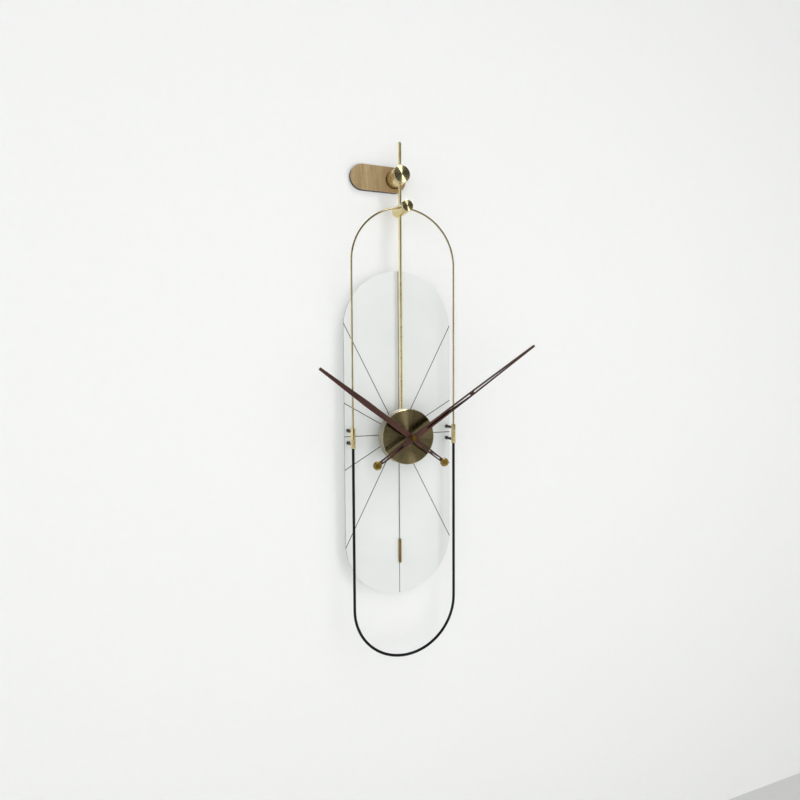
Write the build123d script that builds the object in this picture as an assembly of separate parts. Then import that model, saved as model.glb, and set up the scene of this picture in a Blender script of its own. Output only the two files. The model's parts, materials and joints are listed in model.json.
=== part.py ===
from build123d import *
import math
import os

# Pendulum wall clock: a brass rod hangs from a wall plate and carries a drum case with walnut hands,
# a long ring-shaped frame with a translucent dial panel, and a slender pendulum behind the case.
# Millimetres. X to the viewer's right, Z up, Y into the wall: the wall face is Y = 0.
# Every "depth" below is the distance in front of the wall, so a depth of 42 is Y = -42.
# The origin is on the wall, on the axis of the upper rod clamp.

# ---------------------------------------------------------------- driving dimensions
# wall plate
PLATE_RADIUS = 27.7
PLATE_CENTRES = 73.7
BRACKET_THICK = 8.0
COVER_THICK = 2.0
WALL_SCREW_X = (-78.0, -32.0)
WALL_SCREW_HOLE = 5.5
WALL_SCREW_HEAD = 10.5

# rod and its upper clamp
ROD_DIAMETER = 7.0
ROD_DEPTH = 44.0
ROD_TOP_Z = 70.8
BOSS_DIAMETER = 37.6
BOSS_FRONT = 49.4
KNOB_FRONT = 57.6
RUNNING_GAP = 0.1

# frame clamp, ring, sleeves
CLAMP_Z = -75.0
CLAMP_DIAMETER = 25.0
CLAMP_BACK = 29.0
CLAMP_FRONT = 80.5
CLAMP_KNOB_FRONT = 88.7
RING_DEPTH = 65.6
RING_RADIUS = 118.8
ARCH_DIAMETER = 4.0
BOW_DIAMETER = 6.0
SLEEVE_DIAMETER = 10.0
SLEEVE_LENGTH = 42.7

# dial panel
CENTRE_Z = -566.0
DIAL_WIDTH = 253.5
DIAL_HEIGHT = 724.0
DIAL_FRONT = 29.6
DIAL_THICK = 3.0
STANDOFF_SPACING = 26.8
STANDOFF_DIAMETER = 6.0
FOOT_DIAMETER = 8.0
LINE_DEPTH = 0.4
HOUR_LINE_WIDTH = 1.6
MERIDIAN_WIDTH = 1.4
STEEP_LINE_ANGLE = 27.3
SHALLOW_LINE_ANGLE = 60.0

# drum case
CASE_DIAMETER = 120.0
CASE_BACK = 59.5
CASE_FRONT = 86.3
CASE_WALL = 2.0
CASE_FACE = 2.5
COVER_PLATE = 2.0
POST_RADIUS = 51.5

# movement
MOVEMENT_SIZE = 56.0
LID_BACK = 65.6
SHELL_WALL = 2.0
MODULE = 0.6
IDLER_X = 12.0
SETTING_X = -18.0
BATTERY_Z = -18.8

# hands
MINUTE_LENGTH = 360.0
MINUTE_TAIL = 97.3
MINUTE_ANGLE = 56.7
MINUTE_BACK = 111.0
HOUR_LENGTH = 249.0
HOUR_TAIL = 95.5
HOUR_ANGLE = -53.3
HOUR_BACK = 103.0
HAND_THICK = 4.5
WEIGHT_DIAMETER = 18.5

# pendulum
PIVOT_Z = -6.0
PIN_DIAMETER = 3.0
PENDULUM_DEPTH = 33.4
PENDULUM_ROD = 1.2
BOB_DIAMETER = 6.0
BOB_LENGTH = 55.0
BOB_DROP = 264.4


# ---------------------------------------------------------------- helpers
def plate(sketch, back, front):
    """A flat piece whose outline is drawn as the viewer sees it, from one depth to another."""
    return extrude(Plane.XZ.offset(back) * sketch, amount=front - back)


def disc(diameter, back, front, x=0.0, z=0.0):
    return plate(Pos(x, z) * Circle(diameter / 2), back, front)


def cone(back_diameter, front_diameter, back, front, x=0.0, z=0.0):
    body = Cone(back_diameter / 2, front_diameter / 2, front - back)
    return Pos(x, -(back + front) / 2, z) * Rot(90, 0, 0) * body


def upright(diameter, low, high, depth, x=0.0):
    return Pos(x, -depth, (low + high) / 2) * Cylinder(diameter / 2, high - low)


def across(diameter, left, right, depth, z):
    return Pos((left + right) / 2, -depth, z) * Rot(0, 90, 0) * Cylinder(diameter / 2, right - left)


def block(left, right, back, front, low, high):
    middle = Pos((left + right) / 2, -(back + front) / 2, (low + high) / 2)
    return middle * Box(right - left, front - back, high - low)


def wheel_outline(teeth):
    """Toothed outline, its tips kept just inside the pitch circle so that meshed wheels run clear."""
    tip = MODULE * teeth / 2 - 0.2
    root = tip - 0.9 * MODULE
    step = 2 * math.pi / teeth
    points = []
    for tooth in range(teeth):
        for radius, part in ((root, -0.32), (tip, -0.18), (tip, 0.18), (root, 0.32)):
            angle = step * (tooth + part)
            points.append((radius * math.cos(angle), radius * math.sin(angle)))
    return make_face(Polyline(*points, close=True))


def wheel(teeth, back, front, x=0.0, z=0.0, bore=0.0):
    outline = Pos(x, z) * wheel_outline(teeth)
    if bore > 0:
        outline = outline - Pos(x, z) * Circle(bore / 2)
    return plate(outline, back, front)


def together(pieces):
    return Compound(children=list(pieces))


# ---------------------------------------------------------------- wall plate
def plate_outline():
    width = PLATE_CENTRES + 2 * PLATE_RADIUS
    return Pos(-PLATE_CENTRES / 2, 0) * SlotOverall(width, 2 * PLATE_RADIUS)


MAGNET_PLACES = ((-55.0, 14.0), (-55.0, -14.0), (-93.5, 0.0))
BOSS_SCREW_Z = (-10.0, 10.0)


def wall_bracket():
    body = plate(plate_outline(), 0, BRACKET_THICK)
    for x in WALL_SCREW_X:
        body -= disc(WALL_SCREW_HOLE, 0, BRACKET_THICK, x)
        body -= cone(WALL_SCREW_HOLE, WALL_SCREW_HEAD, BRACKET_THICK - 3, BRACKET_THICK, x)
    for z in BOSS_SCREW_Z:
        body -= disc(4.2, 0, BRACKET_THICK, 0, z)
        body -= cone(8.4, 4.2, 0, 2.4, 0, z)
    for x, z in MAGNET_PLACES:
        body -= disc(8.0, BRACKET_THICK - 2, BRACKET_THICK, x, z)
    return body


def walnut_cover():
    outline = plate_outline() - Circle(BOSS_DIAMETER / 2 + 0.8)
    body = plate(outline, BRACKET_THICK, BRACKET_THICK + COVER_THICK)
    for x, z in MAGNET_PLACES:
        body -= disc(8.0, BRACKET_THICK, BRACKET_THICK + 0.8, x, z)
    return body


def cover_magnets():
    return together(disc(8.0, BRACKET_THICK - 2, BRACKET_THICK, x, z) for x, z in MAGNET_PLACES)


def cover_discs():
    return together(disc(8.0, BRACKET_THICK, BRACKET_THICK + 0.8, x, z) for x, z in MAGNET_PLACES)


# ---------------------------------------------------------------- upper clamp
def rod_clamp_boss():
    body = disc(BOSS_DIAMETER, BRACKET_THICK, BOSS_FRONT)
    body -= upright(ROD_DIAMETER + RUNNING_GAP, -30, 30, ROD_DEPTH)
    body -= disc(6.0 + RUNNING_GAP, ROD_DEPTH, BOSS_FRONT)
    for z in BOSS_SCREW_Z:
        body -= disc(4.0, BRACKET_THICK, 20, 0, z)
    return body


def boss_screws():
    screws = []
    for z in BOSS_SCREW_Z:
        head = cone(8.0, 4.0, 0.2, 2.3, 0, z)
        screws.append(head + disc(4.0, 2.3, 19, 0, z))
    return together(screws)


def rod_clamp_knob():
    body = disc(BOSS_DIAMETER, BOSS_FRONT + 0.3, KNOB_FRONT)
    rim = body.faces().sort_by(Axis.Y)[0].edges()
    body = chamfer(rim, 0.6)
    return body - disc(6.0, BOSS_FRONT + 0.3, BOSS_FRONT + 5)


def rod_clamp_stud():
    tip = ROD_DEPTH + ROD_DIAMETER / 2 + 0.3
    return disc(6.0, tip, BOSS_FRONT + 5)


# ---------------------------------------------------------------- rod and its socket behind the case
SOCKET_LOW = CENTRE_Z + 10
SOCKET_HIGH = CENTRE_Z + 46
SOCKET_BACK = 36.0
ROD_BOTTOM = SOCKET_LOW + 3
GRUB_Z = (CENTRE_Z + 20, CENTRE_Z + 36)
SOCKET_SCREW_Z = (CENTRE_Z + 19, CENTRE_Z + 37)


def hanging_rod():
    body = upright(ROD_DIAMETER, ROD_BOTTOM, ROD_TOP_Z, ROD_DEPTH)
    top = body.faces().sort_by(Axis.Z)[-1].edges()
    return fillet(top, 0.8)


def rod_socket():
    body = block(-11, 11, SOCKET_BACK, CASE_BACK, SOCKET_LOW, SOCKET_HIGH)
    body = fillet(body.edges().filter_by(Axis.Y), 3)
    body -= upright(ROD_DIAMETER, ROD_BOTTOM, SOCKET_HIGH, ROD_DEPTH)
    for z in GRUB_Z:
        body -= disc(4.0, SOCKET_BACK, ROD_DEPTH - ROD_DIAMETER / 2, 0, z)
    for z in SOCKET_SCREW_Z:
        body -= disc(4.0, ROD_DEPTH + 6, CASE_BACK, 0, z)
    return body


def socket_grub_screws():
    screws = []
    for z in GRUB_Z:
        body = disc(4.0, SOCKET_BACK, ROD_DEPTH - ROD_DIAMETER / 2, 0, z)
        socket = plate(Pos(0, z) * RegularPolygon(1.1, 6), SOCKET_BACK, SOCKET_BACK + 1.5)
        screws.append(body - socket)
    return together(screws)


def socket_screws():
    screws = []
    inside = CASE_BACK + COVER_PLATE
    for z in SOCKET_SCREW_Z:
        shank = disc(4.0, ROD_DEPTH + 6.5, inside, 0, z)
        screws.append(shank + disc(7.0, inside, inside + 2.2, 0, z))
    return together(screws)


# ---------------------------------------------------------------- drum case
def post_places():
    for angle in (45, 135, 225, 315):
        x = POST_RADIUS * math.cos(math.radians(angle))
        z = CENTRE_Z + POST_RADIUS * math.sin(math.radians(angle))
        yield x, z


def case_cup():
    body = disc(CASE_DIAMETER, CASE_BACK, CASE_FRONT, 0, CENTRE_Z)
    rim = body.faces().sort_by(Axis.Y)[0].edges()
    body = chamfer(rim, 0.8)
    body -= disc(CASE_DIAMETER - 2 * CASE_WALL, CASE_BACK, CASE_FRONT - CASE_FACE, 0, CENTRE_Z)
    for x, z in post_places():
        body += disc(8.0, CASE_BACK + COVER_PLATE, CASE_FRONT - CASE_FACE, x, z)
        body -= disc(3.0, CASE_BACK + COVER_PLATE, CASE_BACK + COVER_PLATE + 10, x, z)
    return body - disc(10.0, CASE_FRONT - CASE_FACE, CASE_FRONT, 0, CENTRE_Z)


def case_back_cover():
    front = CASE_BACK + COVER_PLATE
    body = disc(CASE_DIAMETER - 2 * CASE_WALL - 0.2, CASE_BACK, front, 0, CENTRE_Z)
    for x, z in post_places():
        body -= disc(3.4, CASE_BACK, front, x, z)
    for z in SOCKET_SCREW_Z:
        body -= disc(4.0, CASE_BACK, front, 0, z)
    body -= disc(16.0, CASE_BACK, front, SETTING_X, CENTRE_Z)
    window = Pos(0, CENTRE_Z + BATTERY_Z) * RectangleRounded(53, 15.6, 2)
    body -= plate(window, CASE_BACK, front)
    return body - disc(PIN_DIAMETER, CASE_BACK, front, 0, CENTRE_Z + PIVOT_Z)


def case_screws():
    screws = []
    for x, z in post_places():
        head = disc(5.6, CASE_BACK - 1.8, CASE_BACK, x, z)
        head -= plate(Pos(x, z) * Rectangle(4.4, 0.8), CASE_BACK - 1.8, CASE_BACK - 1.0)
        screws.append(head + disc(3.0, CASE_BACK, CASE_BACK + 11, x, z))
    return together(screws)


# ---------------------------------------------------------------- movement
HOUSING_BACK = LID_BACK + SHELL_WALL
HOUSING_FRONT = CASE_FRONT - CASE_FACE
BUSH_FRONT = 92.0
BATTERY_DIAMETER = 14.0
BATTERY_DEPTH = HOUSING_BACK + 7.1


def movement_housing():
    inner = MOVEMENT_SIZE - 2 * SHELL_WALL
    outline = Pos(0, CENTRE_Z) * RectangleRounded(MOVEMENT_SIZE, MOVEMENT_SIZE, 3)
    hollow = Pos(0, CENTRE_Z) * Rectangle(inner, inner)
    body = plate(outline, HOUSING_BACK, HOUSING_FRONT)
    body -= plate(hollow, HOUSING_BACK, HOUSING_FRONT - SHELL_WALL)
    body -= disc(10.0, HOUSING_FRONT - SHELL_WALL, HOUSING_FRONT, 0, CENTRE_Z)
    return body - disc(1.5, HOUSING_FRONT - SHELL_WALL, HOUSING_FRONT, IDLER_X, CENTRE_Z)


def movement_lid():
    outline = Pos(0, CENTRE_Z) * RectangleRounded(MOVEMENT_SIZE, MOVEMENT_SIZE, 3)
    body = plate(outline, LID_BACK, HOUSING_BACK)
    window = Pos(0, CENTRE_Z + BATTERY_Z) * Rectangle(51, 13.4)
    body -= plate(window, LID_BACK, HOUSING_BACK)
    return body - disc(3.0 + RUNNING_GAP, LID_BACK, HOUSING_BACK, SETTING_X, CENTRE_Z)


def movement_bush():
    body = disc(10.0, HOUSING_FRONT - SHELL_WALL, BUSH_FRONT, 0, CENTRE_Z)
    return body - disc(6.0 + RUNNING_GAP, HOUSING_FRONT - SHELL_WALL, BUSH_FRONT, 0, CENTRE_Z)


def bush_nut():
    outline = Pos(0, CENTRE_Z) * (RegularPolygon(8.2, 6) - Circle(5.0))
    return plate(outline, CASE_FRONT, CASE_FRONT + 3)


def idler_pin():
    return disc(1.5, HOUSING_BACK + 4.6, HOUSING_FRONT, IDLER_X, CENTRE_Z)


def circuit_board():
    return block(-24.5, -12.5, 78.5, 79.5, CENTRE_Z + 11, CENTRE_Z + 25)


def drive_coil():
    body = across(8.0, -8, 12, 74.5, CENTRE_Z + 20)
    for x in (-9.2, 12):
        body += block(x, x + 1.2, 69.8, 79.2, CENTRE_Z + 15.3, CENTRE_Z + 24.7)
    return body


def battery():
    z = CENTRE_Z + BATTERY_Z
    body = across(BATTERY_DIAMETER, -24.6, 23.4, BATTERY_DEPTH, z)
    return body + across(5.5, 23.4, 24.6, BATTERY_DEPTH, z)


def battery_contacts():
    z = CENTRE_Z + BATTERY_Z
    return together(block(x, x + 0.6, 69, 79, z - 5, z + 5) for x in (-25.3, 24.7))


def idler_wheel():
    big = wheel(30, 73.0, 74.2, IDLER_X, CENTRE_Z)
    small = wheel(8, 74.2, 77.4, IDLER_X, CENTRE_Z)
    body = big + small
    return body - disc(1.5 + RUNNING_GAP, 72, 78, IDLER_X, CENTRE_Z)


def setting_arbor():
    shaft = disc(3.0, 63.0, 72.0, SETTING_X, CENTRE_Z)
    return shaft + wheel(20, 70.0, 71.2, SETTING_X, CENTRE_Z)


def setting_knob():
    body = disc(13.0, 60.4, 65.2, SETTING_X, CENTRE_Z)
    for step in range(18):
        angle = math.radians(20 * step)
        x = SETTING_X + 6.5 * math.cos(angle)
        z = CENTRE_Z + 6.5 * math.sin(angle)
        body -= disc(1.0, 60.4, 65.2, x, z)
    return body - disc(3.0, 63.0, 65.2, SETTING_X, CENTRE_Z)


# ---------------------------------------------------------------- hands
# outlines are drawn pointing at twelve with the turning axis at their origin
def taper(stations):
    right = [(half, along) for along, half in stations]
    left = [(-half, along) for along, half in reversed(stations)]
    return make_face(Polyline(*right, *left, close=True))


def slot_between(low, high, low_half, high_half):
    return taper(((low, low_half), (high, high_half)))


def minute_outline():
    outline = taper(((-90, 3.6), (0, 5.9), (30, 5.7), (170, 4.9), (MINUTE_LENGTH, 2.3)))
    outline += Circle(7.0)
    outline -= slot_between(38, 163, 1.9, 2.1)
    outline -= slot_between(173, 285, 1.9, 0.6)
    outline -= slot_between(-54, -28, 1.5, 1.7)
    return outline - slot_between(-84, -60, 1.5, 1.5)


def hour_outline():
    outline = taper(((-88, 3.8), (0, 5.6), (25, 5.3), (125, 6.4), (HOUR_LENGTH, 2.9)))
    outline += Circle(7.0)
    outline -= slot_between(-54, -28, 1.5, 1.7)
    return outline - slot_between(-82, -60, 1.6, 1.5)


def place_hand(outline, angle, back, front):
    return plate(Pos(0, CENTRE_Z) * Rot(0, 0, -angle) * outline, back, front)


def along_hand(angle, distance):
    turn = math.radians(angle)
    return distance * math.sin(turn), CENTRE_Z + distance * math.cos(turn)


HUB_HOLE = 9.0
HOUR_TUBE_BACK = 74.8
HOUR_TUBE_FRONT = HOUR_BACK + HAND_THICK + 2.2
ARBOR_FRONT = MINUTE_BACK + HAND_THICK + 2.0


def hour_hand():
    outline = hour_outline() - Circle(HUB_HOLE / 2)
    weight_hole = Pos(0, -HOUR_TAIL) * Circle(WEIGHT_DIAMETER / 2)
    return place_hand(outline - weight_hole, HOUR_ANGLE, HOUR_BACK, HOUR_BACK + HAND_THICK)


def turned_weight(x, z, back, front):
    """A turned disc with bevelled rims and a shallow ring cut into its face."""
    body = disc(WEIGHT_DIAMETER, back, front, x, z)
    rims = body.edges().filter_by(GeomType.CIRCLE)
    body = chamfer(rims, 0.6)
    ring = disc(WEIGHT_DIAMETER - 4.6, front - 0.4, front, x, z)
    return body - (ring - disc(WEIGHT_DIAMETER - 6.8, front - 0.4, front, x, z))


def hour_weight():
    x, z = along_hand(HOUR_ANGLE, -HOUR_TAIL)
    return turned_weight(x, z, HOUR_BACK - 0.1, HOUR_BACK + HAND_THICK + 0.5)


def hour_tube():
    body = disc(6.0, HOUR_TUBE_BACK, HOUR_TUBE_FRONT, 0, CENTRE_Z)
    return body - disc(4.2, HOUR_TUBE_BACK, HOUR_TUBE_FRONT, 0, CENTRE_Z)


def hour_wheel():
    return wheel(32, 76.0, 77.2, 0, CENTRE_Z, 6.0)


def hour_bush():
    body = disc(HUB_HOLE, HOUR_BACK - 2, HOUR_BACK + HAND_THICK, 0, CENTRE_Z)
    body += disc(12.0, HOUR_BACK + HAND_THICK, HOUR_BACK + HAND_THICK + 1.2, 0, CENTRE_Z)
    return body - disc(6.0, HOUR_BACK - 2, HOUR_BACK + HAND_THICK + 1.2, 0, CENTRE_Z)


def minute_hand():
    outline = minute_outline() - Circle(HUB_HOLE / 2)
    weight_hole = Pos(0, -MINUTE_TAIL) * Circle(WEIGHT_DIAMETER / 2)
    return place_hand(outline - weight_hole, MINUTE_ANGLE, MINUTE_BACK, MINUTE_BACK + HAND_THICK)


def minute_weight():
    x, z = along_hand(MINUTE_ANGLE, -MINUTE_TAIL)
    return turned_weight(x, z, MINUTE_BACK - 0.5, MINUTE_BACK + HAND_THICK + 1)


def minute_arbor():
    return disc(4.1, 69.0, ARBOR_FRONT, 0, CENTRE_Z)


def minute_wheel():
    return wheel(40, 70.0, 71.2, 0, CENTRE_Z, 4.1)


def minute_pinion():
    return wheel(10, 72.6, 74.4, 0, CENTRE_Z, 4.1)


def minute_bush():
    front = MINUTE_BACK + HAND_THICK
    body = disc(HUB_HOLE, MINUTE_BACK - 0.6, front, 0, CENTRE_Z)
    return body - disc(4.1, MINUTE_BACK - 0.6, front, 0, CENTRE_Z)


def hub_cap():
    back = MINUTE_BACK + HAND_THICK
    body = disc(12.0, back, back + 3.6, 0, CENTRE_Z)
    rim = body.faces().sort_by(Axis.Y)[0].edges()
    body = fillet(rim, 1.2)
    body -= disc(3.2, back + 2.6, back + 3.6, 0, CENTRE_Z)
    return body - disc(4.1, back, ARBOR_FRONT, 0, CENTRE_Z)


# ---------------------------------------------------------------- pendulum
PIVOT_AT = CENTRE_Z + PIVOT_Z
BOB_TOP = CENTRE_Z - BOB_DROP + BOB_LENGTH / 2
BOB_BOTTOM = BOB_TOP - BOB_LENGTH
ARM_LENGTH = 30.0
HANGER_BACK = PENDULUM_DEPTH - 1.8
HANGER_FRONT = 58.8


def pendulum_pin():
    return disc(PIN_DIAMETER, HANGER_BACK - 1.6, CASE_BACK + COVER_PLATE, 0, PIVOT_AT)


def pin_clip():
    body = disc(6.0, HANGER_BACK - 1.1, HANGER_BACK - 0.4, 0, PIVOT_AT)
    return body - disc(PIN_DIAMETER, HANGER_BACK - 1.1, HANGER_BACK - 0.4, 0, PIVOT_AT)


def pendulum_coil():
    front = CASE_BACK + COVER_PLATE + 3.4
    body = disc(14.0, CASE_BACK + COVER_PLATE, front, 0, PIVOT_AT - ARM_LENGTH)
    return body - disc(4.0, CASE_BACK + COVER_PLATE, front, 0, PIVOT_AT - ARM_LENGTH)


def pendulum_hanger():
    body = disc(6.4, HANGER_BACK, HANGER_FRONT, 0, PIVOT_AT)
    strip = Pos(0, PIVOT_AT - ARM_LENGTH / 2) * SlotOverall(ARM_LENGTH + 8, 8, 90)
    body += plate(strip, HANGER_FRONT - 1.4, HANGER_FRONT)
    body += upright(4.0, PIVOT_AT - 11, PIVOT_AT - 1.8, PENDULUM_DEPTH)
    body -= disc(PIN_DIAMETER + RUNNING_GAP, HANGER_BACK, HANGER_FRONT, 0, PIVOT_AT)
    return body - upright(PENDULUM_ROD, PIVOT_AT - 11, PIVOT_AT - 3.5, PENDULUM_DEPTH)


def pendulum_magnet():
    return disc(7.0, HANGER_FRONT - 4.2, HANGER_FRONT - 1.4, 0, PIVOT_AT - ARM_LENGTH)


def pendulum_rod():
    return upright(PENDULUM_ROD, BOB_TOP - 12, PIVOT_AT - 3.5, PENDULUM_DEPTH)


def pendulum_bob():
    body = upright(BOB_DIAMETER, BOB_BOTTOM, BOB_TOP, PENDULUM_DEPTH)
    ends = body.edges().filter_by(GeomType.CIRCLE)
    body = fillet(ends, BOB_DIAMETER / 2 - 0.9)
    return body - upright(PENDULUM_ROD, BOB_TOP - 12, BOB_TOP, PENDULUM_DEPTH)


# ---------------------------------------------------------------- frame
ARCH_CENTRE_Z = CLAMP_Z - RING_RADIUS
BOW_CENTRE_Z = 2 * CENTRE_Z - ARCH_CENTRE_Z
SLEEVE_TOP = CENTRE_Z + SLEEVE_LENGTH / 2
SLEEVE_BOTTOM = CENTRE_Z - SLEEVE_LENGTH / 2


def half_ring(centre_z, direction, diameter, end_z):
    """Half of the ring: a semicircle at the top or bottom and two straight legs to the sleeves."""
    def at(x, z):
        return Vector(x, -RING_DEPTH, z)
    left = Line(at(-RING_RADIUS, end_z), at(-RING_RADIUS, centre_z))
    crown = at(0, centre_z + direction * RING_RADIUS)
    bend = ThreePointArc(at(-RING_RADIUS, centre_z), crown, at(RING_RADIUS, centre_z))
    right = Line(at(RING_RADIUS, centre_z), at(RING_RADIUS, end_z))
    path = Wire([*left.edges(), *bend.edges(), *right.edges()])
    section = Plane(at(-RING_RADIUS, end_z), z_dir=(0, 0, direction)) * Circle(diameter / 2)
    return sweep(section, path)


def frame_arch():
    return half_ring(ARCH_CENTRE_Z, 1, ARCH_DIAMETER, CENTRE_Z + 0.3)


def frame_bow():
    return half_ring(BOW_CENTRE_Z, -1, BOW_DIAMETER, CENTRE_Z - 0.3)


def frame_clamp():
    body = disc(CLAMP_DIAMETER, CLAMP_BACK, CLAMP_FRONT, 0, CLAMP_Z)
    rim = body.faces().sort_by(Axis.Y)[-1].edges()
    body = chamfer(rim, 0.6)
    body -= upright(ROD_DIAMETER + RUNNING_GAP, CLAMP_Z - 20, CLAMP_Z + 20, ROD_DEPTH)
    body -= disc(5.0, CLAMP_BACK, ROD_DEPTH, 0, CLAMP_Z)
    body -= disc(6.0 + RUNNING_GAP, RING_DEPTH, CLAMP_FRONT, 0, CLAMP_Z)
    return body - half_ring(ARCH_CENTRE_Z, 1, ARCH_DIAMETER, ARCH_CENTRE_Z - 5)


def clamp_grub_screw():
    tip = ROD_DEPTH - ROD_DIAMETER / 2 - 0.3
    body = disc(5.0, CLAMP_BACK + 0.6, tip, 0, CLAMP_Z)
    socket = plate(Pos(0, CLAMP_Z) * RegularPolygon(1.4, 6), CLAMP_BACK + 0.6, CLAMP_BACK + 3)
    return body - socket


def frame_clamp_knob():
    body = disc(CLAMP_DIAMETER, CLAMP_FRONT + 0.3, CLAMP_KNOB_FRONT, 0, CLAMP_Z)
    rim = body.faces().sort_by(Axis.Y)[0].edges()
    body = chamfer(rim, 0.6)
    return body - disc(6.0, CLAMP_FRONT + 0.3, CLAMP_FRONT + 5, 0, CLAMP_Z)


def frame_clamp_stud():
    tip = RING_DEPTH + ARCH_DIAMETER / 2 + 0.3
    return disc(6.0, tip, CLAMP_FRONT + 5, 0, CLAMP_Z)


STANDOFF_Z = (CENTRE_Z - STANDOFF_SPACING / 2, CENTRE_Z + STANDOFF_SPACING / 2)
SCREW_TIP = RING_DEPTH - BOW_DIAMETER / 2 - 0.4


def sleeve(x):
    body = upright(SLEEVE_DIAMETER, SLEEVE_BOTTOM, SLEEVE_TOP, RING_DEPTH, x)
    rims = body.edges().filter_by(GeomType.CIRCLE)
    body = chamfer(rims, 0.5)
    body -= upright(ARCH_DIAMETER, CENTRE_Z + 0.3, SLEEVE_TOP, RING_DEPTH, x)
    body -= upright(BOW_DIAMETER, SLEEVE_BOTTOM, CENTRE_Z - 0.3, RING_DEPTH, x)
    for z in STANDOFF_Z:
        body -= disc(3.0, DIAL_FRONT, SCREW_TIP, x, z)
    return body


def standoffs():
    pieces = []
    for x in (-RING_RADIUS, RING_RADIUS):
        saddle = upright(SLEEVE_DIAMETER, SLEEVE_BOTTOM, SLEEVE_TOP, RING_DEPTH, x)
        for z in STANDOFF_Z:
            body = disc(STANDOFF_DIAMETER, DIAL_FRONT, RING_DEPTH - 3, x, z)
            body += disc(FOOT_DIAMETER, DIAL_FRONT, DIAL_FRONT + 2.5, x, z)
            body -= saddle
            pieces.append(body - disc(3.0, DIAL_FRONT, RING_DEPTH, x, z))
    return together(pieces)


def standoff_screws():
    back = DIAL_FRONT - DIAL_THICK
    screws = []
    for x in (-RING_RADIUS, RING_RADIUS):
        for z in STANDOFF_Z:
            head = disc(6.5, back - 1.8, back, x, z)
            head -= plate(Pos(x, z) * RegularPolygon(1.2, 6), back - 1.8, back - 0.8)
            screws.append(head + disc(3.0, back, SCREW_TIP, x, z))
    return together(screws)


# ---------------------------------------------------------------- dial
def dial_outline():
    return Pos(0, CENTRE_Z) * SlotOverall(DIAL_HEIGHT, DIAL_WIDTH, 90)


def meridian_line():
    strip = Pos(0, CENTRE_Z) * Rectangle(MERIDIAN_WIDTH, DIAL_HEIGHT)
    return plate(dial_outline() & strip, DIAL_FRONT - LINE_DEPTH, DIAL_FRONT)


def line_angles():
    for side in (1, -1):
        for angle in (STEEP_LINE_ANGLE, SHALLOW_LINE_ANGLE, 90):
            yield side * angle
        yield side * (180 - SHALLOW_LINE_ANGLE)
        yield side * (180 - STEEP_LINE_ANGLE)


def hour_lines():
    lines = []
    for angle in line_angles():
        ray = Rot(0, 0, -angle) * Pos(0, 160) * Rectangle(HOUR_LINE_WIDTH, 300)
        strip = Pos(0, CENTRE_Z) * ray - Pos(0, CENTRE_Z) * Circle(18)
        lines.append(plate(dial_outline() & strip, DIAL_FRONT - LINE_DEPTH, DIAL_FRONT))
    return together(lines)


def dial_panel():
    body = plate(dial_outline(), DIAL_FRONT - DIAL_THICK, DIAL_FRONT)
    for x in (-RING_RADIUS, RING_RADIUS):
        for z in STANDOFF_Z:
            body -= disc(3.0, DIAL_FRONT - DIAL_THICK, DIAL_FRONT, x, z)
    body -= meridian_line()
    for line in hour_lines().children:
        body -= line
    return body


# ---------------------------------------------------------------- export, one file per node
NODES = {
    "wall_bracket": wall_bracket,
    "walnut_cover": walnut_cover,
    "cover_magnets": cover_magnets,
    "cover_discs": cover_discs,
    "rod_clamp_boss": rod_clamp_boss,
    "boss_screws": boss_screws,
    "rod_clamp_knob": rod_clamp_knob,
    "rod_clamp_stud": rod_clamp_stud,
    "hanging_rod": hanging_rod,
    "rod_socket": rod_socket,
    "socket_grub_screws": socket_grub_screws,
    "socket_screws": socket_screws,
    "case_cup": case_cup,
    "case_back_cover": case_back_cover,
    "case_screws": case_screws,
    "movement_housing": movement_housing,
    "movement_lid": movement_lid,
    "movement_bush": movement_bush,
    "bush_nut": bush_nut,
    "idler_pin": idler_pin,
    "circuit_board": circuit_board,
    "drive_coil": drive_coil,
    "battery": battery,
    "battery_contacts": battery_contacts,
    "pendulum_coil": pendulum_coil,
    "pendulum_pin": pendulum_pin,
    "pin_clip": pin_clip,
    "idler_wheel": idler_wheel,
    "setting_arbor": setting_arbor,
    "setting_knob": setting_knob,
    "hour_tube": hour_tube,
    "hour_wheel": hour_wheel,
    "hour_hand": hour_hand,
    "hour_bush": hour_bush,
    "hour_weight": hour_weight,
    "minute_arbor": minute_arbor,
    "minute_wheel": minute_wheel,
    "minute_pinion": minute_pinion,
    "minute_hand": minute_hand,
    "minute_bush": minute_bush,
    "minute_weight": minute_weight,
    "hub_cap": hub_cap,
    "pendulum_hanger": pendulum_hanger,
    "pendulum_magnet": pendulum_magnet,
    "pendulum_rod": pendulum_rod,
    "pendulum_bob": pendulum_bob,
    "frame_clamp": frame_clamp,
    "clamp_grub_screw": clamp_grub_screw,
    "frame_arch": frame_arch,
    "frame_bow": frame_bow,
    "left_sleeve": lambda: sleeve(-RING_RADIUS),
    "right_sleeve": lambda: sleeve(RING_RADIUS),
    "standoffs": standoffs,
    "standoff_screws": standoff_screws,
    "dial_panel": dial_panel,
    "meridian_line": meridian_line,
    "hour_lines": hour_lines,
    "frame_clamp_knob": frame_clamp_knob,
    "frame_clamp_stud": frame_clamp_stud,
}

os.makedirs("parts", exist_ok=True)
for name, make in NODES.items():
    export_step(make(), f"parts/{name}.step")
    print(name)
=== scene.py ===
import json
import math

import bpy
from mathutils import Matrix, Vector


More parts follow.
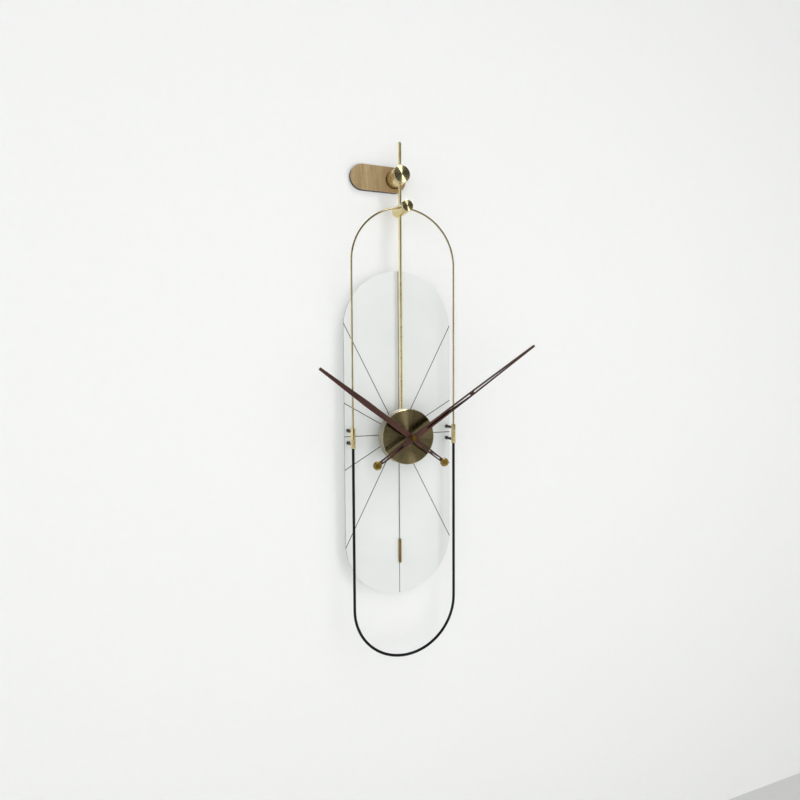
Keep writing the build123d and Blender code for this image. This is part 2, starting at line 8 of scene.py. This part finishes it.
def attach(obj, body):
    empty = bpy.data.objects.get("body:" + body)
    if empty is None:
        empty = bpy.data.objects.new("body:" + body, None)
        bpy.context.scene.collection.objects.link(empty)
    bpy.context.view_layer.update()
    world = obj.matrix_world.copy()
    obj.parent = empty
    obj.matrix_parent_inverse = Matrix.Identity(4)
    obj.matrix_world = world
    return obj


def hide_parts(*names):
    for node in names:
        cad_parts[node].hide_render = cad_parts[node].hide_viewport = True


# Looks for the pendulum wall clock. Metres; X to the viewer's right, Y into the wall, Z up.

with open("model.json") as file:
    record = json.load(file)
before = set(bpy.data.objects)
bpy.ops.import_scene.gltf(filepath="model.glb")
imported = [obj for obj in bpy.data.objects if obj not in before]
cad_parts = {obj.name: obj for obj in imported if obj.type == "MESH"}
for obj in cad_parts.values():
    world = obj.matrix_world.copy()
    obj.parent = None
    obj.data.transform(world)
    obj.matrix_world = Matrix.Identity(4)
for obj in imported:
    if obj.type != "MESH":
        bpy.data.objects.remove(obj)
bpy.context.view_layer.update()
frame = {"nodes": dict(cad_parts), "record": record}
nodes = frame["nodes"]
scene = bpy.context.scene
scene.view_settings.view_transform = "Standard"
SLOT = {row["node"]: row["material_slot"] for row in frame["record"]["subparts"]}
BODY = {node: body for body, row in frame["record"]["behaviour"]["bodies"].items() for node in row}
MM = 0.001
MINUTE_ANGLE = 56.7
HOUR_ANGLE = -53.3


def link(obj):
    scene.collection.objects.link(obj)
    return obj


# ---------------------------------------------------------------- camera
CAMERA_AT = Vector((-0.499, -1.2823, -0.4153))
CAMERA_YAW = 21.85
CAMERA_PITCH = -3.13
CAMERA_ROLL = -0.33
CAMERA_LENS = 27.13


def make_camera():
    yaw, pitch, roll = (math.radians(a) for a in (CAMERA_YAW, CAMERA_PITCH, CAMERA_ROLL))
    ahead = Vector(
        (math.sin(yaw) * math.cos(pitch), math.cos(yaw) * math.cos(pitch), math.sin(pitch)),
    )
    right = Vector((math.cos(yaw), -math.sin(yaw), 0))
    up = right.cross(ahead)
    across = math.cos(roll) * right + math.sin(roll) * up
    upright = -math.sin(roll) * right + math.cos(roll) * up
    cam = link(bpy.data.objects.new("camera", bpy.data.cameras.new("camera")))
    cam.data.lens = CAMERA_LENS
    cam.data.sensor_width = 36
    turned = Matrix((across, upright, -ahead)).transposed().to_4x4()
    cam.matrix_world = Matrix.Translation(CAMERA_AT) @ turned
    scene.camera = cam


make_camera()


# ---------------------------------------------------------------- material helpers
def linear(*srgb):
    """A colour given as 0-255 display values."""
    def one(v):
        v /= 255
        return v / 12.92 if v <= 0.04045 else ((v + 0.055) / 1.055) ** 2.4
    return tuple(one(v) for v in srgb) + (1.0,)


class Look:
    """One node material, built from small steps that each return an output socket."""

    def __init__(self, name):
        self.material = bpy.data.materials.new(name)
        self.material.use_nodes = True
        self.tree = self.material.node_tree
        self.shader = self.tree.nodes["Principled BSDF"]

    def node(self, kind, settings=None, **inputs):
        made = self.tree.nodes.new("ShaderNode" + kind)
        for key, value in (settings or {}).items():
            setattr(made, key, value)
        for key, value in inputs.items():
            self.put(made.inputs[key.replace("_", " ")], value)
        return made

    def put(self, socket, value):
        if isinstance(value, bpy.types.NodeSocket):
            self.tree.links.new(value, socket)
        else:
            socket.default_value = value

    def set(self, **inputs):
        for key, value in inputs.items():
            self.put(self.shader.inputs[key.replace("_", " ")], value)
        return self

    def coords(self, turn=(0, 0, 0), scale=(1, 1, 1), shift=(0, 0, 0)):
        """Object coordinates, shifted and turned first and then scaled."""
        own = self.node("TexCoord").outputs["Object"]
        turned = self.node(
            "Mapping",
            {"vector_type": "TEXTURE"},
            Vector=own,
            Rotation=turn,
            Location=shift,
        )
        return self.node("Mapping", Vector=turned.outputs[0], Scale=scale).outputs[0]

    def noise(self, where, scale, detail=3.0, rough=0.5, distort=0.0):
        made = self.node(
            "TexNoise",
            Vector=where,
            Scale=scale,
            Detail=detail,
            Roughness=rough,
            Distortion=distort,
        )
        return made.outputs["Fac"]

    def ramp(self, value, *stops):
        made = self.node("ValToRGB", Fac=value)
        band = made.color_ramp
        while len(band.elements) < len(stops):
            band.elements.new(0.5)
        for element, (place, colour) in zip(band.elements, stops):
            element.position = place
            element.color = colour
        return made.outputs["Color"]

    def span(self, value, low, high, to_low=0.0, to_high=1.0):
        made = self.node(
            "MapRange",
            Value=value,
            From_Min=low,
            From_Max=high,
            To_Min=to_low,
            To_Max=to_high,
        )
        return made.outputs["Result"]

    def math(self, operation, a, b=0.0, clamp=False):
        made = self.node("Math", {"operation": operation, "use_clamp": clamp})
        self.put(made.inputs[0], a)
        self.put(made.inputs[1], b)
        return made.outputs[0]

    def mix(self, factor, a, b, how="MIX"):
        made = self.node("Mix", {"data_type": "RGBA", "blend_type": how})
        self.put(made.inputs[0], factor)
        self.put(made.inputs[6], a)
        self.put(made.inputs[7], b)
        return made.outputs[2]

    def bump(self, height, distance, strength=1.0, under=None):
        made = self.node("Bump", Height=height, Distance=distance, Strength=strength)
        if under is not None:
            self.put(made.inputs["Normal"], under)
        return made.outputs["Normal"]

    def edge(self):
        """One on the rounded edges of a finished piece, nothing elsewhere."""
        return self.node("Attribute", {"attribute_name": "edge"}).outputs["Fac"]


# ---------------------------------------------------------------- metals
def metal(name, colour, deep, rough, stretch=(1, 1, 1), worn=None, fine=900.0, relief=0.00002):
    """Drawn or polished metal: a little tarnish, handling smears, fine lines and brighter edges."""
    look = Look(name)
    tarnish = look.noise(look.coords(), 34, detail=5, rough=0.6, distort=0.4)
    tone = look.mix(look.span(tarnish, 0.35, 0.75), colour, deep)
    wear = look.math(
        "MULTIPLY",
        look.edge(),
        look.span(look.noise(look.coords(), 260, detail=2), 0.3, 0.6),
        True,
    )
    tone = look.mix(wear, tone, worn or colour)
    lines = look.noise(look.coords(scale=stretch), fine, detail=3, rough=0.6)
    smears = look.noise(look.coords(), 70, detail=4, rough=0.7, distort=1.0)
    gloss = look.math(
        "ADD",
        look.span(smears, 0.3, 0.75, to_low=rough * 0.8, to_high=rough * 1.35),
        look.span(lines, 0.3, 0.7, to_low=-0.02, to_high=0.03),
    )
    look.set(Base_Color=tone, Metallic=1.0, Roughness=gloss, Normal=look.bump(lines, relief))
    return look


RAY_SCALE = 9.0
SIDE_ROUGHER = 0.55
SIDE_ON, FACE_ON = 0.2, 0.6


def turned_metal(
    name,
    colour,
    deep,
    rough,
    anisotropy,
    rings=0.25,
    worn=None,
    side=None,
    ray_depth=0.3,
):
    """Faced on a lathe: fine rings about the piece's own axis, with gloss along each radius; a side
    colour, where given, is painted on the side faces as their reflection.
    """
    look = Look(name)
    around = look.node("Tangent", {"direction_type": "RADIAL", "axis": "Y"}).outputs[0]
    own = look.node("TexCoord").outputs["Generated"]
    middle = look.node("VectorMath", {"operation": "SUBTRACT"})
    look.put(middle.inputs[0], own)
    middle.inputs[1].default_value = (0.5, 0.5, 0.5)
    flat = look.node("VectorMath", {"operation": "MULTIPLY"})
    look.put(flat.inputs[0], middle.outputs[0])
    flat.inputs[1].default_value = (1, 0, 1)
    radius = look.node("VectorMath", {"operation": "LENGTH"})
    look.put(radius.inputs[0], flat.outputs[0])
    radius = radius.outputs["Value"]
    place = look.node("CombineXYZ", X=radius)
    cuts = look.noise(place.outputs[0], 190, detail=4, rough=0.75)
    tarnish = look.noise(look.coords(), 26, detail=5, rough=0.6, distort=0.4)
    tone = look.mix(look.span(tarnish, 0.3, 0.75), colour, deep)
    tone = look.mix(look.span(cuts, 0.35, 0.7, to_low=0.0, to_high=0.35), tone, deep)
    ray = look.node("VectorMath", {"operation": "NORMALIZE"})
    look.put(ray.inputs[0], flat.outputs[0])
    rays = look.noise(ray.outputs[0], RAY_SCALE, detail=3, rough=0.7)
    tone = look.mix(look.span(rays, 0.35, 0.65, to_low=0.0, to_high=ray_depth), tone, deep)
    # the side faces take the side colour, a painted reflection of the pale dial beside them, and a
    # rougher gloss
    if side is not None:
        facing = look.node("NewGeometry").outputs["Normal"]
        depth = look.math("ABSOLUTE", look.node("SeparateXYZ", Vector=facing).outputs["Y"])
        turned_away = look.span(depth, SIDE_ON, FACE_ON, to_low=1.0, to_high=0.0)
        tone = look.mix(turned_away, tone, side)
    tone = look.mix(look.edge(), tone, worn or colour)
    gloss = look.span(cuts, 0.25, 0.75, to_low=rough * 0.8, to_high=rough * 1.15)
    gloss = look.math("ADD", gloss, look.span(rays, 0.3, 0.7, to_low=-0.03, to_high=0.04))
    if side is not None:
        gloss = look.math("ADD", gloss, look.math("MULTIPLY", turned_away, SIDE_ROUGHER))
    look.set(
        Base_Color=tone,
        Metallic=1.0,
        Roughness=gloss,
        Anisotropic=anisotropy,
        Anisotropic_Rotation=0.25,
    )
    look.set(Tangent=around, Normal=look.bump(cuts, 0.00001, strength=rings))
    return look


BRASS = linear(230, 214, 160)
BRASS_DEEP = linear(206, 186, 126)
BRASS_WORN = linear(246, 238, 200)


def polished_brass():
    return metal(
        "polished_brass",
        BRASS,
        BRASS_DEEP,
        rough=0.16,
        stretch=(1, 1, 0.05),
        worn=BRASS_WORN,
        fine=1500,
    )


def sleeve_brass():
    """The sleeves have a fine peened texture."""
    look = metal(
        "sleeve_brass",
        BRASS,
        BRASS_DEEP,
        rough=0.24,
        stretch=(1, 1, 1),
        worn=BRASS_WORN,
        fine=900,
    )
    dents = look.node("TexVoronoi", {"feature": "SMOOTH_F1"}, Vector=look.coords(), Scale=1100)
    old = look.shader.inputs["Normal"].links[0].from_socket
    look.set(Normal=look.bump(dents.outputs["Distance"], 0.00012, strength=0.5, under=old))
    return look


def turned_brass():
    return turned_metal(
        "turned_brass",
        linear(228, 216, 172),
        linear(204, 190, 140),
        rough=0.27,
        anisotropy=0.97,
        rings=0.3,
        worn=BRASS_WORN,
    )


def case_brass():
    return turned_metal(
        "case_brass",
        linear(170, 157, 120),
        linear(118, 103, 70),
        rough=0.25,
        anisotropy=0.97,
        rings=0.3,
        worn=linear(235, 226, 186),
        # pale grey on the drum's side wall: a painted reflection of the white dial
        side=linear(178, 174, 160),
        ray_depth=0.7,
    )


def aged_brass():
    return turned_metal(
        "aged_brass",
        linear(176, 146, 74),
        linear(122, 96, 40),
        rough=0.32,
        anisotropy=0.9,
        rings=0.4,
        worn=linear(214, 190, 122),
    )


def steel():
    return metal(
        "steel",
        linear(178, 178, 182),
        linear(148, 148, 154),
        rough=0.3,
        stretch=(1, 1, 0.1),
        worn=linear(225, 225, 228),
        fine=1200,
    )


def coated(name, colour, other, rough, grain=900, relief=0.00004, coat=0.0):
    """Paint, moulding or powder coat: slight mottling, fine texture, paler rubbed edges."""
    look = Look(name)
    cloud = look.noise(look.coords(), 45, detail=4, rough=0.6)
    tone = look.mix(look.span(cloud, 0.3, 0.7), colour, other)
    rubbed = look.mix(0.35, colour, linear(150, 148, 144))
    spots = look.span(look.noise(look.coords(), 320, detail=2), 0.42, 0.62)
    tone = look.mix(look.math("MULTIPLY", look.edge(), spots, True), tone, rubbed)
    peel = look.noise(look.coords(), grain, detail=3, rough=0.55)
    gloss = look.span(
        look.noise(look.coords(), 120, detail=4, rough=0.65),
        0.3,
        0.7,
        to_low=rough * 0.8,
        to_high=rough * 1.25,
    )
    look.set(
        Base_Color=tone,
        Roughness=gloss,
        Normal=look.bump(peel, relief),
        Coat_Weight=coat,
        Coat_Roughness=0.08,
    )
    return look


# ---------------------------------------------------------------- wood
RED_FROM, RED_TO = -35 * MM, 20 * MM


def walnut(name, turn, pale, middle, dark, pore, rough, shift=(0, 0, 0), red=None):
    """Straight-grained walnut, grain along the turned Z axis: bands, flame, pores and satin oil."""
    look = Look(name)
    turn = (0, math.radians(turn), 0)
    bands = look.noise(
        look.coords(turn, (1, 1, 0.09), shift),
        150,
        detail=4,
        rough=0.6,
        distort=0.6,
    )
    flame = look.noise(
        look.coords(turn, (1, 1, 0.16), shift),
        38,
        detail=5,
        rough=0.55,
        distort=1.6,
    )
    streak = look.noise(look.coords(turn, (1, 1, 0.03), shift), 700, detail=3, rough=0.7)
    pores = look.noise(look.coords(turn, (1, 1, 0.045), shift), 1700, detail=2, rough=0.8)
    figure = look.math(
        "ADD",
        look.math("MULTIPLY", bands, 0.55),
        look.math("MULTIPLY", flame, 0.45),
    )
    tone = look.ramp(look.span(figure, 0.34, 0.66), (0.0, dark), (0.45, middle), (1.0, pale))
    tone = look.mix(look.span(streak, 0.4, 0.75, to_low=0.0, to_high=0.4), tone, dark)
    holes = look.span(pores, 0.56, 0.68)
    tone = look.mix(look.math("MULTIPLY", holes, 0.75), tone, pore)
    if red is not None:
        side = look.node("SeparateXYZ", Vector=look.coords()).outputs["X"]
        tone = look.mix(
            look.span(side, RED_FROM, RED_TO, to_low=0.0, to_high=0.55),
            tone,
            look.mix(1.0, tone, red, "MULTIPLY"),
        )
    tone = look.mix(look.math("MULTIPLY", look.edge(), 0.45), tone, pale)
    gloss = look.math(
        "ADD",
        look.span(figure, 0.3, 0.7, to_low=rough + 0.06, to_high=rough - 0.05),
        look.math("MULTIPLY", holes, 0.2),
    )
    grooves = look.math(
        "ADD",
        look.math("MULTIPLY", holes, -1.0),
        look.math("MULTIPLY", streak, 0.35),
    )
    look.set(Base_Color=tone, Roughness=gloss, Normal=look.bump(grooves, 0.00008, strength=0.7))
    look.set(Specular_IOR_Level=0.45)
    return look


def pale_walnut():
    return walnut(
        "pale_walnut",
        0,
        linear(186, 163, 124),
        linear(168, 144, 106),
        linear(142, 117, 82),
        linear(96, 72, 50),
        rough=0.46,
        red=linear(240, 205, 175),
    )


DARK = (linear(90, 56, 46), linear(67, 38, 31), linear(46, 25, 21), linear(24, 12, 10))


def hand_walnut(name, angle, shift):
    return walnut(name, angle, *DARK, rough=0.4, shift=shift)


# ---------------------------------------------------------------- acrylic and ink
def acrylic():
    """Frosted opal sheet: milky, faintly clouded, a greenish cut edge."""
    look = Look("acrylic")
    cloud = look.noise(look.coords(), 7, detail=4, rough=0.5)
    tone = look.mix(look.span(cloud, 0.3, 0.7), linear(226, 229, 227), linear(232, 234, 232))
    facing = look.node("NewGeometry").outputs["Normal"]
    depth = look.math("ABSOLUTE", look.node("SeparateXYZ", Vector=facing).outputs["Y"])
    cut = look.span(depth, SIDE_ON, FACE_ON, to_low=1.0, to_high=0.0)
    tone = look.mix(look.math("MULTIPLY", cut, 0.85), tone, linear(54, 60, 46))
    frost = look.noise(look.coords(), 1400, detail=3, rough=0.6)
    gloss = look.span(
        look.noise(look.coords(), 18, detail=4, rough=0.6),
        0.3,
        0.7,
        to_low=0.3,
        to_high=0.38,
    )
    look.set(
        Base_Color=tone,
        Roughness=gloss,
        Normal=look.bump(frost, 0.00002, strength=0.6),
        IOR=1.49,
    )
    look.set(Subsurface_Weight=0.15, Subsurface_Radius=(0.6, 0.65, 0.6), Subsurface_Scale=0.004)
    return look


# one look for each material slot of the record
LOOKS = {
    "black_metal": coated(
        "black_metal",
        linear(34, 34, 36),
        linear(46, 46, 48),
        rough=0.45,
        grain=1400,
    ),
    "pale_walnut": pale_walnut(),
    "polished_brass": polished_brass(),
    "turned_brass": turned_brass(),
    "case_brass": case_brass(),
    "aged_brass": aged_brass(),
    "black_rod": coated(
        "black_rod",
        linear(8, 8, 9),
        linear(13, 13, 15),
        rough=0.34,
        grain=700,
        relief=0.00002,
    ),
    "acrylic": acrylic(),
    "ink": coated("ink", linear(7, 8, 9), linear(18, 19, 20), rough=0.6, grain=1600),
    "grey_ink": coated("grey_ink", linear(48, 50, 52), linear(64, 66, 68), rough=0.5, grain=1600),
    "movement_plastic": coated(
        "movement_plastic",
        linear(30, 30, 31),
        linear(42, 42, 43),
        rough=0.5,
        grain=1100,
    ),
    "white_nylon": coated(
        "white_nylon",
        linear(226, 224, 214),
        linear(212, 209, 198),
        rough=0.4,
        grain=1100,
    ),
    "steel": steel(),
    "black_steel": metal(
        "black_steel",
        linear(58, 58, 60),
        linear(36, 36, 38),
        rough=0.35,
        stretch=(1, 1, 1),
        worn=linear(120, 118, 114),
    ),
    "battery_sleeve": coated(
        "battery_sleeve",
        linear(60, 84, 104),
        linear(48, 70, 90),
        rough=0.3,
        grain=300,
        relief=0.00001,
        coat=0.3,
    ),
    "copper_wire": metal(
        "copper_wire",
        linear(196, 118, 78),
        linear(150, 82, 50),
        rough=0.32,
        stretch=(0.05, 1, 1),
        worn=linear(230, 160, 120),
        fine=2600,
    ),
    "board": coated(
        "board",
        linear(34, 84, 58),
        linear(26, 68, 46),
        rough=0.35,
        grain=500,
        relief=0.00001,
        coat=0.3,
    ),
    "dark_walnut": hand_walnut("dark_walnut", HOUR_ANGLE, (0.3, 0.1, 0.2)),
}

# pieces whose finish differs from the rest of their slot
RING_BRASS = (linear(196, 182, 140), linear(170, 152, 108))
ROD_BRASS = (linear(238, 224, 176), linear(216, 198, 144))
HUB_BRASS = (linear(138, 108, 44), linear(96, 70, 22))
SLEEVES = sleeve_brass()
SPECIAL = {
    "frame_arch": metal(
        "ring_brass",
        *RING_BRASS,
        rough=0.11,
        stretch=(1, 1, 0.05),
        worn=BRASS_WORN,
        fine=1500,
    ),
    "hanging_rod": metal(
        "rod_brass",
        *ROD_BRASS,
        rough=0.3,
        stretch=(1, 1, 0.05),
        worn=BRASS_WORN,
        fine=1500,
    ),
    "hub_cap": turned_metal(
        "hub_brass",
        *HUB_BRASS,
        rough=0.32,
        anisotropy=0.9,
        rings=0.4,
        worn=linear(190, 160, 92),
    ),
    "rod_clamp_boss": metal(
        "boss_brass",
        linear(240, 226, 180),
        linear(222, 204, 150),
        rough=0.26,
        stretch=(1, 0.1, 1),
        worn=BRASS_WORN,
        fine=1500,
    ),
    "pendulum_rod": metal(
        "drawn_steel",
        linear(214, 214, 217),
        linear(186, 186, 190),
        rough=0.42,
        stretch=(1, 1, 0.1),
        worn=None,
        fine=1500,
    ),
    "minute_hand": hand_walnut("minute_walnut", MINUTE_ANGLE, (0.7, 0.0, -0.4)),
    "left_sleeve": SLEEVES,
    "right_sleeve": SLEEVES,
}
SPECIAL["pendulum_rod"].set(Metallic=0.6)
LOOKS["black_rod"].set(Specular_IOR_Level=0.25)
LOOKS["ink"].set(Specular_IOR_Level=0.2)


def look_of(node):
    return (SPECIAL.get(node) or LOOKS[SLOT[node]]).material


for name, obj in nodes.items():
    obj.data.materials.clear()
    obj.data.materials.append(look_of(name))


# ---------------------------------------------------------------- finished pieces
WELD_GAP = 0.002 * MM
FLAT_ANGLE = 0.4
CORNER_ANGLE = 32
BEVEL_SEGMENTS = 2


def finish(node, width):
    """A copy of a CAD piece with corners rounded by width, its rounded faces marked for wear."""
    mesh = nodes[node].data.copy()
    piece = link(bpy.data.objects.new(node + "_finished", mesh))
    mesh.materials.clear()
    for _ in ("faces", "rounded edges"):
        mesh.materials.append(look_of(node))
    weld = piece.modifiers.new("weld", "WELD")
    weld.merge_threshold = WELD_GAP
    flat = piece.modifiers.new("flat", "DECIMATE")
    flat.decimate_type = "DISSOLVE"
    flat.angle_limit = math.radians(FLAT_ANGLE)
    soft = piece.modifiers.new("round", "BEVEL")
    soft.width = width * MM
    soft.segments = BEVEL_SEGMENTS
    soft.limit_method = "ANGLE"
    soft.angle_limit = math.radians(CORNER_ANGLE)
    soft.harden_normals = True
    soft.material = 1
    soft.miter_outer = "MITER_ARC"
    graph = bpy.context.evaluated_depsgraph_get()
    shaped = piece.evaluated_get(graph)
    done = bpy.data.meshes.new_from_object(shaped, preserve_all_data_layers=True, depsgraph=graph)
    piece.modifiers.clear()
    piece.data = done
    done.name = piece.name
    edge = done.attributes.new("edge", "FLOAT", "FACE")
    edge.data.foreach_set("value", [float(face.material_index) for face in done.polygons])
    for face in done.polygons:
        face.material_index = 0
    done.materials.clear()
    done.materials.append(look_of(node))
    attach(piece, BODY[node])
    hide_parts(node)
    return piece


FINISHED = {
    "walnut_cover": 0.5,
    "wall_bracket": 0.6,
    "hour_hand": 0.7,
    "minute_hand": 0.7,
    "rod_clamp_boss": 0.5,
    "rod_clamp_knob": 0.25,
    "frame_clamp_knob": 0.25,
    "case_cup": 0.25,
    "left_sleeve": 0.5,
    "right_sleeve": 0.5,
    "hour_weight": 0.2,
    "minute_weight": 0.2,
    "hub_cap": 0.3,
}
for name, width in FINISHED.items():
    finish(name, width)


# ---------------------------------------------------------------- stage
def stage_look(name, colour, hollow_back):
    look = Look(name)
    stucco = look.noise(look.coords(), 60, detail=6, rough=0.65)
    tone = look.mix(
        look.span(stucco, 0.3, 0.7, to_low=0.0, to_high=1.0),
        colour,
        tuple(c * 0.985 for c in colour[:3]) + (1,),
    )
    look.set(Base_Color=tone, Roughness=0.85, Normal=look.bump(stucco, 0.001, strength=0.25))
    if not hollow_back:
        return look.material
    # the wall shows from its front alone, so that the clock's back can be looked at
    clear = look.node("BsdfTransparent").outputs[0]
    path = look.node("LightPath").outputs
    seen = look.math("MAXIMUM", path["Is Camera Ray"], path["Is Glossy Ray"])
    back = look.node("NewGeometry").outputs["Backfacing"]
    solid = look.math("MULTIPLY", seen, look.math("SUBTRACT", 1.0, back))
    both = look.node("MixShader", Fac=solid)
    look.put(both.inputs[1], clear)
    look.put(both.inputs[2], look.shader.outputs[0])
    look.put(look.tree.nodes["Material Output"].inputs["Surface"], both.outputs[0])
    return look.material


def sheet(name, corners, material):
    mesh = bpy.data.meshes.new(name)
    mesh.from_pydata(corners, [], [(0, 1, 2, 3)])
    obj = link(bpy.data.objects.new(name, mesh))
    mesh.materials.append(material)


WALL_Y = 0.0005
WALL_HALF = 4
WALL_TOP = 2.2
FLOOR_Z = -1.75
FLOOR_HALF = 6
WALL_PAINT = (0.895, 0.9, 0.893, 1)
FLOOR_PAINT = (0.8, 0.8, 0.79, 1)
wall_corners = [
    (-WALL_HALF, WALL_Y, FLOOR_Z),
    (WALL_HALF, WALL_Y, FLOOR_Z),
    (WALL_HALF, WALL_Y, WALL_TOP),
    (-WALL_HALF, WALL_Y, WALL_TOP),
]
floor_corners = [
    (-FLOOR_HALF, -FLOOR_HALF, FLOOR_Z),
    (FLOOR_HALF, -FLOOR_HALF, FLOOR_Z),
    (FLOOR_HALF, FLOOR_HALF, FLOOR_Z),
    (-FLOOR_HALF, FLOOR_HALF, FLOOR_Z),
]
sheet("wall", wall_corners, stage_look("wall", WALL_PAINT, True))
sheet("floor", floor_corners, stage_look("floor", FLOOR_PAINT, False))


# ---------------------------------------------------------------- light
# what the camera sees past the stage
BACKDROP = 0.74
ROOM = 0.05
# height, half depth and strength of the paler band
HORIZON = (-0.15, 0.28, 0.3)
BEHIND = 0.8
WORLD_TINT = (0.99, 1.0, 0.995, 1)
LAMP_TOWARD = (0.21, -0.62, 0.72)
# direction, width, height, softness and strength of each soft lamp
LAMPS = [
    (LAMP_TOWARD, 0.1, 0.24, 0.6, 5.5),
    ((-0.85, -0.42, 0.1), 0.36, 0.28, 0.4, 1.5),
    ((0.85, -0.5, 0.0), 0.3, 0.22, 0.5, 0.9),
]
FILL_AT = (-0.1, -3.2, -0.35)
FILL_SIZE = (5.0, 3.4)
FILL_POWER = 84.0
GLEAM_TOWARD = LAMP_TOWARD
GLEAM_WIDE = 0.17
GLEAM_HIGH = 0.26
GLEAM_AWAY = 40.0
GLEAM_RADIANCE = 9.0
GLEAM_NODES = [
    "rod_clamp_knob",
    "frame_clamp_knob",
    "rod_clamp_boss",
    "case_cup",
    "hour_weight",
    "minute_weight",
    "hub_cap",
]


def make_world():
    """A soft studio: dim room, a paler band, pale behind, three soft lamps and a plain backdrop."""
    world = bpy.data.worlds.new("world")
    scene.world = world
    world.use_nodes = True
    tree = world.node_tree
    back = tree.nodes["Background"]

    def add(kind, **settings):
        made = tree.nodes.new("ShaderNode" + kind)
        for key, value in settings.items():
            setattr(made, key, value)
        return made

    def plug(value, socket):
        if isinstance(value, bpy.types.NodeSocket):
            tree.links.new(value, socket)
        else:
            socket.default_value = value

    def maths(operation, a, b=0.0):
        made = add("Math", operation=operation)
        plug(a, made.inputs[0])
        plug(b, made.inputs[1])
        return made.outputs[0]

    toward = add("TexCoord").outputs["Generated"]
    parts = add("SeparateXYZ")
    plug(toward, parts.inputs[0])

    def smooth(value, low, high):
        made = add("MapRange", interpolation_type="SMOOTHSTEP")
        plug(value, made.inputs["Value"])
        made.inputs["From Min"].default_value = low
        made.inputs["From Max"].default_value = high
        return made.outputs["Result"]

    def along(direction):
        made = add("VectorMath", operation="DOT_PRODUCT")
        plug(toward, made.inputs[0])
        made.inputs[1].default_value = direction
        return made.outputs["Value"]

    def lamp(direction, wide, high, softness, strength):
        """An oval soft lamp; wide and high are the tangents of its half angles."""
        ahead = Vector(direction).normalized()
        right = ahead.cross(Vector((0, 0, 1))).normalized()
        over = right.cross(ahead)
        front = along(ahead)
        across = maths("DIVIDE", maths("DIVIDE", along(right), front), wide)
        upward = maths("DIVIDE", maths("DIVIDE", along(over), front), high)
        away = maths(
            "SQRT",
            maths("ADD", maths("MULTIPLY", across, across), maths("MULTIPLY", upward, upward)),
        )
        lit = maths(
            "MULTIPLY",
            smooth(away, 1.0 + softness, 1.0),
            maths("GREATER_THAN", front, 0.0),
        )
        return maths("MULTIPLY", lit, strength)

    def band(value, middle, half, strength):
        off = maths("ABSOLUTE", maths("SUBTRACT", value, middle))
        return maths("MULTIPLY", smooth(off, half, 0.0), strength)

    height = parts.outputs["Z"]
    room = maths("ADD", ROOM, band(height, *HORIZON))
    behind = maths("MULTIPLY", smooth(parts.outputs["Y"], 0.0, 0.25), BEHIND)
    total = maths("ADD", room, behind)
    for one in LAMPS:
        total = maths("ADD", total, lamp(*one))
    direct = add("LightPath").outputs["Is Camera Ray"]
    backdrop = maths("MULTIPLY", direct, BACKDROP)
    unseen = maths("MULTIPLY", total, maths("SUBTRACT", 1.0, direct))
    plug(maths("ADD", unseen, backdrop), back.inputs["Strength"])
    back.inputs["Color"].default_value = WORLD_TINT


make_world()


def make_fill():
    """A wide soft panel in front that lifts the shadows and stays out of the reflections."""
    panel = bpy.data.lights.new("fill", "AREA")
    panel.shape = "RECTANGLE"
    panel.size, panel.size_y = FILL_SIZE
    panel.energy = FILL_POWER
    fill = link(bpy.data.objects.new("fill", panel))
    fill.location = FILL_AT
    fill.rotation_euler = (math.radians(90), 0, 0)
    fill.visible_camera = False
    fill.visible_glossy = False


make_fill()


def make_gleam():
    """A far oval panel that only the reflections show: the broad streaks on turned faces."""
    ahead = Vector(GLEAM_TOWARD).normalized()
    panel = bpy.data.lights.new("gleam", "AREA")
    panel.shape = "ELLIPSE"
    panel.size = 2 * GLEAM_WIDE * GLEAM_AWAY
    panel.size_y = 2 * GLEAM_HIGH * GLEAM_AWAY
    panel.energy = GLEAM_RADIANCE * math.pi * panel.size * panel.size_y
    gleam = link(bpy.data.objects.new("gleam", panel))
    gleam.location = ahead * GLEAM_AWAY
    gleam.rotation_euler = ahead.to_track_quat("Z", "Y").to_euler()
    gleam.visible_camera = False
    gleam.visible_diffuse = False
    faces = bpy.data.collections.new("turned_faces")
    for node in GLEAM_NODES:
        faces.objects.link(bpy.data.objects[node + "_finished"])
    gleam.light_linking.receiver_collection = faces


make_gleam()
